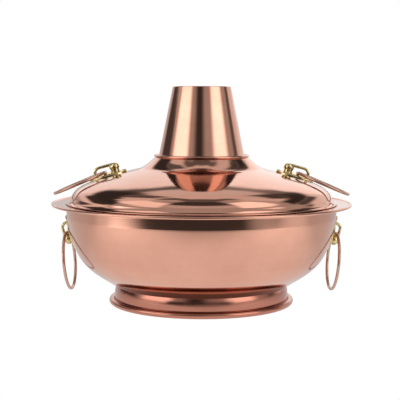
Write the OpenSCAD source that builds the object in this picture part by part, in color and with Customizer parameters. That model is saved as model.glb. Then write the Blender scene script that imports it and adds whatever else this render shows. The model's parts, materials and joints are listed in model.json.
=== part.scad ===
// Chimney hot pot: a spun copper bowl round a central charcoal tube, with a
// lift-off lid, a lift-off chimney and four hinged ring handles in brass eyes.
// Millimetres. +Z up, origin at the centre of the face the foot rests on.
// Every outline runs from its lowest point to its highest, with its outer side
// on the right of the direction of travel.

/* [Bowl] */
// Outer radius of the rolled rim
rim_r = 150; // [149:0.5:151]
// Height of the rim flange's top face
rim_z = 101; // [100.5:0.1:101.4]
// Outer radius of the neck under the rim flange
neck_r = 135; // [134.8:0.1:135.2]
// Height where the curved side meets the upright neck
neck_z = 88; // [87:0.5:89]
// Radius where the side leaves the foot
knee_r = 87; // [86.5:0.1:87.5]
// Height where the side leaves the foot
knee_z = 18.8; // [18.6:0.1:19.2]
// Height of the bottom's underside
floor_z = 17.3; // [17:0.1:17.6]
// Sheet thickness of the bowl
bowl_wall = 1.2; // [1:0.1:1.4]
// Radius of the rolled bead round the rim
rim_bead_r = 1.3; // [1.2:0.05:1.5]

/* [Foot] */
// Outer radius of the bead that the pot stands on
foot_r = 92.9; // [92.5:0.1:93.5]
// Radius of that bead's section
foot_bead_r = 3.1; // [3:0.05:3.2]
// Number of draught holes in the back of the foot
draught_holes = 7; // [3:2:9]
// Diameter of a draught hole
draught_d = 7; // [5:0.5:7.5]

/* [Charcoal tube and chimney] */
// Outer radius of the chimney's open top
chimney_top_r = 29.2; // [29:0.1:29.4]
// Height of the chimney's open top
chimney_top_z = 217; // [216:0.5:218]
// Radius gained for each millimetre down the tube and the chimney
flue_taper = 0.199; // [0.197:0.001:0.2]
// Height of the joint between tube and chimney
flue_joint_z = 147; // [146.5:0.1:147.2]
// Sheet thickness of tube and chimney
flue_wall = 1.2; // [1:0.1:1.3]
// Height of the spigot that the chimney stands over
spigot_h = 8; // [6:0.5:10]
// Thickness of the iron grate
grate_t = 5; // [4:0.5:6]
// Width of a slot in the grate
grate_slot = 5; // [4:0.5:5.5]

/* [Lid] */
// Outer radius of the lid's turned-out edge
lid_edge_r = 136.2; // [136:0.1:136.6]
// Height of the top of the lip round the chimney hole
lip_z = 149.5; // [149.4:0.1:149.8]
// Radius of the chimney hole inside the lip
lip_r = 44.6; // [44.4:0.1:44.8]
// Radius of the lip's rolled section
lip_bead_r = 1.5; // [1.4:0.05:1.6]
// Sheet thickness of the lid
lid_wall = 1; // [0.8:0.1:1.1]

/* [Handles] */
// Outer diameter of a ring on the bowl
bowl_ring_d = 60; // [58:1:62]
// Outer diameter of a ring on the lid
lid_ring_d = 58; // [56:1:58]
// Wire diameter of the rings
ring_wire = 3; // [2.8:0.1:3.1]
// Distance from the pot's axis to the pivot of a bowl ring
bowl_pivot_r = 136; // [135.9:0.1:136.2]
// Height of the pivot of a bowl ring
bowl_pivot_z = 70.3; // [70.1:0.1:70.6]
// Distance from the pot's axis to the pivot of a lid ring
lid_pivot_r = 96.8; // [96.6:0.1:97]
// Height of the pivot of a lid ring
lid_pivot_z = 131.2; // [131:0.1:131.6]
// Length of a handle plate up the wall
plate_l = 36; // [35.6:0.2:37]
// Width of a handle plate round the wall
plate_w = 24; // [23:0.5:25]
// Thickness of a handle plate
plate_t = 2; // [1.8:0.1:2.1]
// Diameter of the rod that an eye is bent from
eye_rod = 2.7; // [2.5:0.1:2.8]
// Height of a bowl eye's rod centre above the wall
bowl_eye_h = 7.3; // [7.2:0.1:7.6]
// Height of a lid eye's rod centre above the wall
lid_eye_h = 10.3; // [10:0.1:10.6]
// Diameter of the round boss at an eye's heavy end
boss_d = 8.6; // [8:0.2:8.8]
// Diameter of a rivet's head
rivet_head_d = 4.6; // [4.4:0.1:4.8]
// Diameter of a rivet's shank
rivet_d = 2.8; // [2.6:0.1:3]

/* [Hidden] */
$fn = 96;

COPPER = [0.80, 0.56, 0.48];
RING_COPPER = [0.60, 0.38, 0.30];
BRASS = [0.72, 0.62, 0.42];
IRON = [0.25, 0.25, 0.26];
STEEL = [0.55, 0.56, 0.57];

CURVE_STEPS = 18;           // straight steps in a curved outline
EYE_FACETS = 72;            // steps round the small parts of an eye
FIT = 0.05;                 // radial clearance of rivets and eye feet in their holes
SOLDER = 0.02;              // gap between sheets that are brazed together
LIFT_GAP = 0.1;             // gap under a loose piece that rests on another
SPIGOT_GAP = 0.3;           // clearance between the spigot and the chimney
SPIGOT_WALL = 1.1;
LEDGE_R = 60;               // inner radius of the ledge under the grate
LEDGE_Z = 14;
LEDGE_T = 2;
GRATE_R = 64;
GRATE_PITCH = 11;           // from one slot to the next
PAN_Z = 5.4;
PAN_T = 1;
PAN_RIM = 2;                // height of the ash pan's upturned rim
TUBE_BOTTOM_Z = 11;
FOOT_TOP_R = 86;            // outer radius of the foot where it meets the bowl
FOOT_FLANGE_R = 76;         // inner edge of the foot's turned-in flange
FLOOR_R = 84.2;             // radius where the bowl's flat bottom turns up
DRAUGHT_Z = 11.5;
DRAUGHT_STEP = 9;           // degrees between draught holes
BOWL_HANDLE_Z = 70.5;       // height of the centre of a bowl plate
LID_HANDLE_R = 92.1;        // radius of the centre of a lid plate
BOWL_EYE_LEG = 10.2;        // from a plate's centre to the eye's thin leg
LID_EYE_LEG = 14.1;
BOWL_EYE_BEND = 4.8;        // bend of the rod's centre line
LID_EYE_BEND = 5.6;
BOSS_AT = 6.6;              // from a plate's centre to the boss
BOSS_DROP = 2.9;            // from the rod's centre line down to the boss's centre
BOSS_NECK_R = 3.55;
RIVET_AT = 14.8;            // height of a rivet above or below a bowl plate's centre
LID_RIVET_HIGH = 15.3;      // from a lid plate's centre uphill to a rivet
LID_RIVET_LOW = 18.1;
RIVET_GAP = 0.08;           // gap under a rivet's heads
LID_PLATE_SHIFT = 1.4;      // a lid plate reaches a little further downhill
RIVET_HEAD_H = 1.3;
RIVET_INNER_H = 0.8;
WEB_TOP = 4.4;              // height of the web that a bowl ring's wire rests on
WEB_LIFT = 0.3;             // gap between the web and the plate
BOWL_RING_LEAN = 5;         // degrees that a hanging bowl ring leans in at the bottom
BOWL_RING_YAW = 4;          // degrees that it is turned towards the front
LID_RING_DROP = 22.9;       // degrees that a lid ring lies below the horizontal
SLEEVE_L = 3;               // straight sleeve on a lid ring's wire, round the axis that it swings about
SLEEVE_R = 0.1;             // how far the sleeve stands out from the wire

ring_r = ring_wire / 2;
rod_r = eye_rod / 2;
hole_fit = rivet_d / 2 + FIT;

function flue_r(z) = chimney_top_r + (chimney_top_z - z) * flue_taper;
function last(list) = list[len(list) - 1];
function reversed(list) = [for (i = [len(list) - 1:-1:0]) list[i]];

// Point of a cubic curve through p[0] and p[3] at t from 0 to 1
function cubic(p, t) = pow(1 - t, 3) * p[0] + 3 * t * pow(1 - t, 2) * p[1]
    + 3 * t * t * (1 - t) * p[2] + pow(t, 3) * p[3];
function curve(p, steps) = [for (i = [0:steps]) cubic(p, i / steps)];

// Unit vector to the right of an outline at its point i
function outward(path, i) =
    let (d = path[min(i + 1, len(path) - 1)] - path[max(i - 1, 0)]) [d.y, -d.x] / norm(d);
function shifted(path, out) = [for (i = [0:len(path) - 1]) path[i] + out * outward(path, i)];
// Closed outline of a sheet between two distances from a path
function sheet(path, out_a, out_b) = concat(shifted(path, out_a), reversed(shifted(path, out_b)));

// Side of the bowl from the bottom's tube hole to the top of the neck
side_curve = curve([[knee_r, knee_z], [107.7, 33.4], [127.7, 36], [neck_r, neck_z]], CURVE_STEPS);
bowl_path = concat([[flue_r(floor_z) + SOLDER, floor_z], [FLOOR_R, floor_z]], side_curve,
    [[neck_r + 0.3, rim_z - bowl_wall - 1.2]]);

// Top side of the lid from its turned-out edge to the lip
lid_seat_z = rim_z + LIFT_GAP;
shoulder = curve([[130.6, 107.2], [125.8, 116.5], [120.6, 121.4], [62, 135.5]], CURVE_STEPS);
lid_neck = curve([[62, 135.5], [54.5, 138.6], [48.5, 145.2], [lip_r + lip_bead_r, 147.2]], 8);
lid_path = concat([[lid_edge_r, lid_seat_z + lid_wall], [133.8, lid_seat_z + lid_wall],
    [132.3, 103.3], [131.4, 105.1]], shoulder, [for (i = [1:len(lid_neck) - 1]) lid_neck[i]]);

// Radius of the bowl's side at height z, and height of the lid's top at radius r
function side_r(z) = lookup(z, [for (p = side_curve) [p.y, p.x]]);
function lid_z(r) = lookup(r, [for (p = shoulder) p]);
function side_tilt(z) = atan((side_r(z + 4) - side_r(z - 4)) / 8);
function lid_tilt(r) = -90 - atan((lid_z(r + 4) - lid_z(r - 4)) / 8);

module revolved(outline) {
    rotate_extrude() polygon(outline);
}

// Everything inside a revolved outline
module inside(path) {
    revolved(concat([[0, path[0].y]], path, [[0, last(path).y]]));
}

module bead(centre_r, centre_z, r) {
    translate([0, 0, centre_z]) rotate_extrude() translate([centre_r, 0]) circle(r);
}

// Places children on the bowl's side at height z: +X outward, +Z up the wall
module on_bowl(z = BOWL_HANDLE_Z) {
    translate([side_r(z), 0, z]) rotate([0, side_tilt(z), 0]) children();
}

// Places children on the lid at radius r: +X outward, +Z uphill to the chimney
module on_lid(r = LID_HANDLE_R) {
    translate([r, 0, lid_z(r)]) rotate([0, lid_tilt(r), 0]) children();
}

// Radius on the lid at a distance uphill from the plate's centre
function uphill(s) = LID_HANDLE_R - s * cos(90 + lid_tilt(LID_HANDLE_R));

module left_side() {
    mirror([1, 0, 0]) children();
}

// ---- bowl and foot ----

module bowl_rivet_holes() {
    for (s = [-RIVET_AT, RIVET_AT])
        on_bowl(BOWL_HANDLE_Z + s) rotate([0, 90, 0]) cylinder(r = hole_fit, h = 12, center = true);
}

module bowl() {
    flange_z = rim_z - bowl_wall;
    bead_at = rim_r - rim_bead_r;
    inner = shifted(bowl_path, -bowl_wall);
    color(COPPER) difference() {
        union() {
            revolved(concat(bowl_path, [[neck_r + 1.5, flange_z], [bead_at, flange_z], [bead_at, rim_z],
                [neck_r - 0.2, rim_z], [neck_r + 0.3 - bowl_wall, rim_z - 0.7]], reversed(inner)));
            bead(bead_at, flange_z + 0.7, rim_bead_r);
        }
        bowl_rivet_holes();
        left_side() bowl_rivet_holes();
    }
}

function foot_inner_r(z) = FOOT_TOP_R + 0.3 - (z - PAN_Z) * 1.5 / 10.7;

module foot_ring() {
    seam_z = floor_z + (FOOT_TOP_R - FLOOR_R) * (knee_z - floor_z) / (knee_r - FLOOR_R);
    under = floor_z - bowl_wall;
    bead_at = foot_r - foot_bead_r;
    color(COPPER) difference() {
        union() {
            revolved([[88.8, 2.9], [87.5, PAN_Z], [87.25, 11], [86.75, 16], [FOOT_TOP_R, seam_z], [FLOOR_R, floor_z],
                [FOOT_FLANGE_R, floor_z], [FOOT_FLANGE_R, under], [foot_inner_r(under), under],
                [foot_inner_r(PAN_Z), PAN_Z], [87.4, 2.9]]);
            bead(bead_at, foot_bead_r - 0.2, foot_bead_r);
        }
        translate([0, 0, -5]) cylinder(r = foot_r + 5, h = 5);
        for (i = [0:draught_holes - 1])
            rotate([0, 0, 90 + (i - (draught_holes - 1) / 2) * DRAUGHT_STEP])
                translate([80, 0, DRAUGHT_Z]) rotate([0, 90, 0]) cylinder(d = draught_d, h = 12);
    }
}

module ash_pan() {
    rim = PAN_Z + PAN_RIM;
    color(STEEL) revolved([[0, PAN_Z], [foot_inner_r(PAN_Z) - SOLDER, PAN_Z], [foot_inner_r(rim) - SOLDER, rim],
        [foot_inner_r(rim) - PAN_T, rim], [foot_inner_r(PAN_Z) - PAN_T, PAN_Z + PAN_T], [0, PAN_Z + PAN_T]]);
}

// ---- charcoal tube, grate and chimney ----

module fire_tube() {
    step = flue_wall + SPIGOT_GAP;
    inner = step + SPIGOT_WALL;
    top = flue_joint_z + spigot_h;
    color(COPPER) revolved([[flue_r(TUBE_BOTTOM_Z), TUBE_BOTTOM_Z], [flue_r(flue_joint_z), flue_joint_z],
        [flue_r(flue_joint_z) - step, flue_joint_z], [flue_r(top) - step, top], [flue_r(top) - inner, top],
        [flue_r(flue_joint_z - 1) - inner, flue_joint_z - 1],
        [flue_r(flue_joint_z - 3) - flue_wall, flue_joint_z - 3],
        [flue_r(TUBE_BOTTOM_Z) - flue_wall, TUBE_BOTTOM_Z]]);
}

module grate_ledge() {
    outer = flue_wall + SOLDER;
    top = LEDGE_Z + LEDGE_T;
    color(COPPER) revolved([[LEDGE_R, LEDGE_Z], [flue_r(LEDGE_Z) - outer, LEDGE_Z],
        [flue_r(top) - outer, top], [LEDGE_R, top]]);
}

module charcoal_grate() {
    slot_end = GRATE_R - 8;
    color(IRON) translate([0, 0, LEDGE_Z + LEDGE_T]) difference() {
        cylinder(r = GRATE_R, h = grate_t);
        for (i = [-4:4]) {
            half = sqrt(slot_end * slot_end - pow(i * GRATE_PITCH, 2));
            translate([-half, i * GRATE_PITCH - grate_slot / 2, -1]) cube([2 * half, grate_slot, grate_t + 2]);
        }
    }
}

module chimney() {
    foot = flue_joint_z + LIFT_GAP;
    color(COPPER) revolved([[flue_r(foot), foot], [chimney_top_r, chimney_top_z],
        [chimney_top_r - flue_wall, chimney_top_z], [flue_r(foot) - flue_wall, foot]]);
}

// ---- lid ----

module lid_rivet_holes() {
    for (s = [-LID_RIVET_LOW, LID_RIVET_HIGH])
        on_lid(uphill(s)) rotate([0, 90, 0]) cylinder(r = hole_fit, h = 12, center = true);
}

module lid() {
    color(COPPER) difference() {
        union() {
            revolved(sheet(lid_path, 0, -lid_wall));
            bead(lip_r + lip_bead_r, lip_z - lip_bead_r, lip_bead_r);
        }
        lid_rivet_holes();
        left_side() lid_rivet_holes();
    }
}

// ---- handles: plates, eyes, rivets and rings, each on its own wall ----

// Oval prism through the wall, length along Z
module oval_prism(length, shift) {
    steps = 36;
    translate([0, 0, shift]) rotate([0, 90, 0]) linear_extrude(height = 30, center = true)
        polygon([for (i = [0:steps - 1]) [length / 2 * cos(i * 360 / steps), plate_w / 2 * sin(i * 360 / steps)]]);
}

// An eye seen from its plate's centre: thin leg towards +Z, heavy boss towards -Z.
// grow makes the same shape larger all round, for the holes that its feet stand in.
module eye_feet(leg_at, height, bend, grow = 0) {
    translate([-3, 0, leg_at]) rotate([0, 90, 0]) cylinder(r = rod_r + grow, h = height - bend + 3);
    translate([-3, 0, -BOSS_AT]) rotate([0, 90, 0]) cylinder(r = BOSS_NECK_R + grow, h = height - BOSS_DROP + 3);
}

module eye_shape(leg_at, height, bend) {
    eye_feet(leg_at, height, bend);
    translate([height - bend, 0, leg_at - bend]) rotate([90, 0, 0]) rotate_extrude(angle = 90)
        translate([bend, 0]) circle(rod_r);
    translate([height, 0, -BOSS_AT + 2]) cylinder(r = rod_r, h = leg_at - bend + BOSS_AT - 2);
    translate([height - BOSS_DROP, 0, -BOSS_AT]) rotate([90, 0, 0]) sphere(boss_d / 2);
}

// Web that grows from the boss towards the leg, with a round seat for the wire that hangs in it
module eye_web() {
    base = plate_t + WEB_LIFT;
    seat_x = (bowl_pivot_r - side_r(BOWL_HANDLE_Z)) * cos(side_tilt(BOWL_HANDLE_Z));
    difference() {
        translate([base, -rod_r, -BOSS_AT]) cube([WEB_TOP - base, eye_rod, BOSS_AT]);
        translate([seat_x, 0, 0.8]) rotate([90, 0, 0]) cylinder(r = ring_r + 0.35, h = 10, center = true);
    }
}

module rivet(wall) {
    head_r = rivet_head_d / 2;
    top = plate_t + RIVET_GAP;
    bottom = wall + RIVET_GAP;
    dome_r = (head_r * head_r + RIVET_HEAD_H * RIVET_HEAD_H) / (2 * RIVET_HEAD_H);
    inner_r = (head_r * head_r + RIVET_INNER_H * RIVET_INNER_H) / (2 * RIVET_INNER_H);
    rotate([0, 90, 0]) {
        translate([0, 0, -bottom]) cylinder(d = rivet_d, h = bottom + top);
        intersection() {
            translate([0, 0, top + RIVET_HEAD_H - dome_r]) sphere(dome_r);
            translate([0, 0, top]) cylinder(r = head_r + 1, h = RIVET_HEAD_H + 1);
        }
        intersection() {
            translate([0, 0, inner_r - bottom - RIVET_INNER_H]) sphere(inner_r);
            translate([0, 0, -bottom - RIVET_INNER_H - 1]) cylinder(r = head_r + 1, h = RIVET_INNER_H + 1);
        }
    }
}

// A ring that hangs from its pivot, swung about the Y axis and turned about its own
module hanging_ring(pivot_r, pivot_z, outer_d, swing, yaw, sleeve) {
    centre_r = outer_d / 2 - ring_r;
    color(RING_COPPER) translate([pivot_r, 0, pivot_z]) rotate([0, swing, 0]) rotate([0, 0, yaw]) {
        translate([0, 0, -centre_r]) rotate([0, 90, 0]) rotate_extrude() translate([centre_r, 0]) circle(ring_r);
        if (sleeve > 0)
            rotate([90, 0, 0]) cylinder(r = ring_r + SLEEVE_R, h = sleeve, center = true);
    }
}

module bowl_plate_right() {
    color(BRASS) difference() {
        intersection() {
            revolved(sheet(bowl_path, plate_t, 0));
            on_bowl() oval_prism(plate_l, 0);
        }
        on_bowl() eye_feet(BOWL_EYE_LEG, bowl_eye_h, BOWL_EYE_BEND, FIT);
        bowl_rivet_holes();
    }
}

module bowl_eye_right() {
    $fn = EYE_FACETS;
    color(BRASS) difference() {
        on_bowl() union() {
            eye_shape(BOWL_EYE_LEG, bowl_eye_h, BOWL_EYE_BEND);
            eye_web();
        }
        inside(bowl_path);
    }
}

module bowl_rivets_right() {
    color(BRASS) for (s = [-RIVET_AT, RIVET_AT])
        on_bowl(BOWL_HANDLE_Z + s) rivet(bowl_wall);
}

module bowl_ring_right() {
    hanging_ring(bowl_pivot_r, bowl_pivot_z, bowl_ring_d, BOWL_RING_LEAN, BOWL_RING_YAW, 0);
}

module lid_plate_right() {
    color(BRASS) difference() {
        intersection() {
            revolved(sheet(lid_path, plate_t, 0));
            on_lid() oval_prism(plate_l + 2 * LID_PLATE_SHIFT, -LID_PLATE_SHIFT);
        }
        on_lid() rotate([180, 0, 0]) eye_feet(LID_EYE_LEG, lid_eye_h, LID_EYE_BEND, FIT);
        lid_rivet_holes();
    }
}

module lid_eye_right() {
    $fn = EYE_FACETS;
    color(BRASS) difference() {
        on_lid() rotate([180, 0, 0]) eye_shape(LID_EYE_LEG, lid_eye_h, LID_EYE_BEND);
        inside(lid_path);
    }
}

module lid_rivets_right() {
    color(BRASS) for (s = [-LID_RIVET_LOW, LID_RIVET_HIGH])
        on_lid(uphill(s)) rivet(lid_wall);
}

module lid_ring_right() {
    hanging_ring(lid_pivot_r, lid_pivot_z, lid_ring_d, LID_RING_DROP - 90, 0, SLEEVE_L);
}

module bowl_plate_left() { left_side() bowl_plate_right(); }
module bowl_eye_left() { left_side() bowl_eye_right(); }
module bowl_rivets_left() { left_side() bowl_rivets_right(); }
module bowl_ring_left() { left_side() bowl_ring_right(); }
module lid_plate_left() { left_side() lid_plate_right(); }
module lid_eye_left() { left_side() lid_eye_right(); }
module lid_rivets_left() { left_side() lid_rivets_right(); }
module lid_ring_left() { left_side() lid_ring_right(); }

bowl();
foot_ring();
fire_tube();
grate_ledge();
charcoal_grate();
ash_pan();
chimney();
lid();
bowl_plate_left();
bowl_plate_right();
bowl_eye_left();
bowl_eye_right();
bowl_rivets_left();
bowl_rivets_right();
bowl_ring_left();
bowl_ring_right();
lid_plate_left();
lid_plate_right();
lid_eye_left();
lid_eye_right();
lid_rivets_left();
lid_rivets_right();
lid_ring_left();
lid_ring_right();
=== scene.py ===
"""Looks of a copper chimney hot pot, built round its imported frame.

Sizes are in metres, in the frame's own axes: +Z up the chimney, +X to the right-hand handles, -Y to the
camera. Every spun piece is an outline of (radius, height) points that one Geometry Nodes tree turns round
the Z axis. Outlines run from low to high with their outer side on the right.
"""

import json
import math

import bmesh
import bpy
from bpy.props import FloatProperty, FloatVectorProperty, IntProperty, PointerProperty
from bpy.types import Operator, Panel, PropertyGroup
from mathutils import Matrix, Vector


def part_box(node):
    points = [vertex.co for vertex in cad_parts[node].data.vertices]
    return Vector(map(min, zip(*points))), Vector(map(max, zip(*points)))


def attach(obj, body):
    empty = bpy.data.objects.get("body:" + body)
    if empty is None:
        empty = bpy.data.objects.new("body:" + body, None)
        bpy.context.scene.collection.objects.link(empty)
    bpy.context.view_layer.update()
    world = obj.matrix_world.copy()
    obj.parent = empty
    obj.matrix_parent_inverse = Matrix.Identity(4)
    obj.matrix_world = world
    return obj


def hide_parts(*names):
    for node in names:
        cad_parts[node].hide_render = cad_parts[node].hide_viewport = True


bl_info = {
    "name": "Chimney Hot Pot",
    "version": (1, 0, 0),
    "blender": (4, 5, 0),
    "location": "View3D > Sidebar > Hot Pot",
    "description": "Builds a copper hot pot with a charcoal chimney, a loose lid and ring handles",
    "category": "Object",
}

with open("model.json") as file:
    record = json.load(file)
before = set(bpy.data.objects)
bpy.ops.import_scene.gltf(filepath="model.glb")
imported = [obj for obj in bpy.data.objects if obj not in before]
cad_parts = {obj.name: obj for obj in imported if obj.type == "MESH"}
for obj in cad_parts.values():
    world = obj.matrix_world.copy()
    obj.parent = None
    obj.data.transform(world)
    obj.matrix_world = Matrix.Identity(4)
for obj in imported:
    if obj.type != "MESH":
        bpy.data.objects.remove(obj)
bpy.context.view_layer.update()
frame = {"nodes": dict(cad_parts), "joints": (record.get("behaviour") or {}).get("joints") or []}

MM = 0.001
SIDES = {"left": -1, "right": 1}
PIVOTS = {j["child"]: Vector(j["pos_m"]) for j in frame["joints"] if j["type"] == "hinge"}
CHIMNEY_LOW, CHIMNEY_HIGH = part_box("chimney")

# Fixed details of the construction
FLOOR_Z = 17.3 * MM  # underside of the bowl's bottom
FLOOR_R = 84.2 * MM  # radius where the bottom turns up into the side
SIDE_HANDLES = ((107.7, 33.4), (127.7, 36.0))  # millimetres, shape the curve of the bowl's side
SHOULDER = ((130.6, 107.2), (125.8, 116.5), (120.6, 121.4), (62.0, 135.5))  # millimetres, the lid's dome
FOOT_SIDE = ((87.5, 5.4), (87.4, 11.5), (87.0, 15.6), (86.0, 18.26))  # millimetres, up the foot
LID_NECK = ((62.0, 135.5), (54.5, 138.6), (48.5, 145.2), (46.1, 147.2))  # millimetres, up to the lip
LID_FLARE = ((134.2, 102.1), (132.2, 102.3), (131.5, 104.6), (130.6, 107.2))  # millimetres, above its edge
SPIGOT_GAP = 0.3 * MM
SPIGOT_WALL = 1.1 * MM
PAN_Z = 5.4 * MM
DRAUGHT_Z = 11.5 * MM
DRAUGHT_STEP = math.radians(9)
LEDGE = (60.0 * MM, 14.0 * MM, 16.0 * MM)  # inner radius, bottom and top of the grate's ledge
PLATE_SINK = 0.05 * MM  # how far a plate's back is let into the wall
PLATE_THINNING = 0.6 * MM  # how much thinner a crowned plate is at its edge than its flat thickness
BOWL_HANDLE_Z = 70.5 * MM
LID_HANDLE_R = 92.1 * MM
TIN_EDGE_R = 134.5 * MM  # the tin inside the bowl ends here, under the flange


# ---- settings ----


def length(name, description, default):
    return FloatProperty(name=name, description=description, default=default, unit="LENGTH")


def angle(name, description, default):
    return FloatProperty(name=name, description=description, default=default, subtype="ANGLE")


def colour(name, description, default):
    return FloatVectorProperty(name=name, description=description, default=default, subtype="COLOR", size=3)


class HotPotShape(PropertyGroup):
    """Sizes of the pot."""

    rim_radius: length("Rim radius", "Outer radius of the rolled rim", 0.150)
    rim_height: length("Rim height", "Height of the rim flange's top face", 0.101)
    rim_bead: length("Rim bead", "Radius of the rolled bead round the rim", 0.0013)
    neck_radius: length("Neck radius", "Outer radius of the neck under the flange", 0.135)
    neck_height: length("Neck height", "Height where the side meets the neck", 0.088)
    knee_radius: length("Knee radius", "Radius where the side leaves the foot", 0.087)
    knee_height: length("Knee height", "Height where the side leaves the foot", 0.0188)
    wall: length("Sheet", "Thickness of the copper sheet", 0.0012)
    lid_wall: length("Lid sheet", "Thickness of the lid's sheet", 0.001)
    foot_radius: length("Foot radius", "Outer radius of the bead that the pot stands on", 0.0929)
    foot_bead: length("Foot bead", "Radius of the foot bead's section", 0.0031)
    draught_holes: IntProperty(
        name="Draught holes", description="Holes in the back of the foot", default=7, min=1, max=9
    )
    draught_hole: length("Draught hole", "Diameter of a draught hole", 0.007)
    chimney_top: length("Chimney top", "Outer radius of the chimney's open top", 0.0292)
    flue_taper: FloatProperty(
        name="Flue taper", description="Radius gained for each unit down the chimney", default=0.199
    )
    flue_joint: length("Flue joint", "Height of the joint between tube and chimney", 0.147)
    lid_edge: length("Lid edge", "Outer radius of the lid's turned-out edge", 0.1362)
    lip_height: length("Lip height", "Height of the lip round the chimney hole", 0.1495)
    lip_bead: length("Lip bead", "Radius of the lip's rolled section", 0.0015)
    plate_length: length("Plate length", "Length of a handle plate up the wall", 0.036)
    plate_width: length("Plate width", "Width of a handle plate round the wall", 0.024)
    plate_thickness: length("Plate thickness", "Thickness of a handle plate", 0.002)
    eye_rod: length("Eye rod", "Diameter of the rod of an eye", 0.0027)
    bowl_eye_height: length("Bowl eye height", "Height of a bowl eye's rod above the wall", 0.0073)
    lid_eye_height: length("Lid eye height", "Height of a lid eye's rod above the wall", 0.0103)
    eye_boss: length("Eye boss", "Diameter of the boss at an eye's heavy end", 0.0086)
    bowl_ring: length("Bowl ring", "Outer diameter of a ring on the bowl", 0.060)
    lid_ring: length("Lid ring", "Outer diameter of a ring on the lid", 0.058)
    ring_wire: length("Ring wire", "Wire diameter of the rings", 0.003)
    rivet_head: length("Rivet head", "Diameter of a rivet's head", 0.0046)
    segments: IntProperty(
        name="Segments", description="Steps round a spun piece", default=320, min=64, max=512
    )


class HotPotFinish(PropertyGroup):
    """Colours of the pot, as linear light."""

    copper: colour("Copper", "Polished copper", (0.73, 0.385, 0.28))
    copper_dark: colour("Copper patina", "Copper where it has darkened", (0.50, 0.21, 0.14))
    # the foot's copper is darker and redder than the rest: painted shade and painted copper-on-copper
    # reflection
    shaded_foot_copper: colour("Foot copper", "Copper of the foot, browner than the rest", (0.47, 0.195, 0.14))
    ring_copper: colour("Ring copper", "Copper of the rings", (0.31, 0.12, 0.07))
    brass: colour("Brass", "Cast brass of the eyes", (0.80, 0.64, 0.34))
    brass_dark: colour("Brass patina", "Brass where it has darkened", (0.20, 0.17, 0.09))
    tin: colour("Tin", "Tin that lines bowl and lid", (0.56, 0.55, 0.52))
    iron: colour("Iron", "Cast iron of the grate", (0.035, 0.034, 0.034))
    steel: colour("Steel", "Steel of the ash pan", (0.42, 0.42, 0.43))
    polish: FloatProperty(
        name="Roughness", description="Roughness of the polished copper", default=0.07, min=0.0, max=1.0
    )


class HotPotStudio(PropertyGroup):
    """Camera and light."""

    camera_place: FloatVectorProperty(
        name="Camera", description="Where the camera stands", default=(-0.0015, -1.040, 0.1956),
        subtype="TRANSLATION", size=3,
    )
    camera_pitch: angle("Pitch", "How far the camera looks down", math.radians(5.07))
    camera_roll: angle("Roll", "How far the picture turns clockwise", math.radians(0.2))
    lens: FloatProperty(
        name="Lens", description="Focal length in millimetres on a 36 mm sensor", default=93.2, min=20.0
    )
    room_level: FloatProperty(
        name="Room level", description="Brightness of the room between the lights", default=0.5, min=0.0
    )
    # where the floor's painted light fades out towards the camera; the floor itself reaches further
    floor_glow_front: length("Floor front", "How far the floor reaches towards the camera", 0.46)


# ---- outlines ----


def cubic(points, steps):
    """Points of a cubic curve whose control points are in millimetres, in metres."""
    p0, p1, p2, p3 = (Vector(p) * MM for p in points)
    out = []
    for i in range(steps + 1):
        t = i / steps
        u = 1 - t
        out.append(u**3 * p0 + 3 * u * u * t * p1 + 3 * u * t * t * p2 + t**3 * p3)
    return out


def arc(centre, radius, start, end, steps):
    """Points of an arc, its angles in degrees counted from +radius towards +height."""
    out = []
    for i in range(steps + 1):
        a = math.radians(start + (end - start) * i / steps)
        out.append(Vector((centre[0] + radius * math.cos(a), centre[1] + radius * math.sin(a))))
    return out


def outward(path, i):
    """Unit vector to the right of an outline at point i."""
    d = (path[min(i + 1, len(path) - 1)] - path[max(i - 1, 0)]).normalized()
    return Vector((d.y, -d.x))


def shifted(path, out):
    return [p + out * outward(path, i) for i, p in enumerate(path)]


def flue_radius(z):
    shape = bpy.context.scene.hotpot_shape
    return shape.chimney_top + (CHIMNEY_HIGH.z - z) * shape.flue_taper


def bowl_side(steps=72):
    """Outer side of the bowl, from the foot to the top of the neck."""
    shape = bpy.context.scene.hotpot_shape
    knee = (shape.knee_radius / MM, shape.knee_height / MM)
    neck = (shape.neck_radius / MM, shape.neck_height / MM)
    low = Vector((shape.neck_radius, shape.neck_height))
    top = Vector((shape.neck_radius + 0.3 * MM, shape.rim_height - shape.wall - 1.2 * MM))
    upright = [low.lerp(top, t) for t in (0.04, 0.2, 0.4, 0.6, 0.8, 1.0)]
    return cubic((knee, *SIDE_HANDLES, neck), steps) + upright


def lid_top(steps=72):
    """Top of the lid, from its turned-out edge to the lip."""
    return cubic(LID_FLARE, 10) + cubic(SHOULDER, steps)[1:] + cubic(LID_NECK, 18)[1:]


class Wall:
    """A spun wall that handles sit on, measured along its outline from a handle's centre."""

    def __init__(self, path, centre):
        self.path = path
        self.lengths = [0.0]
        for a, b in zip(path, path[1:]):
            self.lengths.append(self.lengths[-1] + (b - a).length)
        self.zero = self.lengths[min(range(len(path)), key=lambda i: centre(path[i]))]

    def at(self, s):
        """Outline point and outward direction at a distance uphill from the handle's centre."""
        s += self.zero
        i = max(j for j in range(len(self.path) - 1) if self.lengths[j] <= s or j == 0)
        a, b = self.path[i], self.path[i + 1]
        t = (s - self.lengths[i]) / (self.lengths[i + 1] - self.lengths[i])
        step = min(max(i + (1 if t > 0.5 else 0), 0), len(self.path) - 1)
        return a.lerp(b, t), outward(self.path, step)

    def point(self, s, y, height):
        """Place on the +X side of the wall, y round it, at a height above it."""
        p, n = self.at(s)
        p = p + n * height
        a = y / p.x
        return Vector((p.x * math.cos(a), p.x * math.sin(a), p.y))


def bowl_wall():
    return Wall(bowl_side(), lambda p: abs(p.y - BOWL_HANDLE_Z))


def lid_wall():
    path = cubic(SHOULDER, 144)
    return Wall(path, lambda p: abs(p.x - LID_HANDLE_R))


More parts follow.
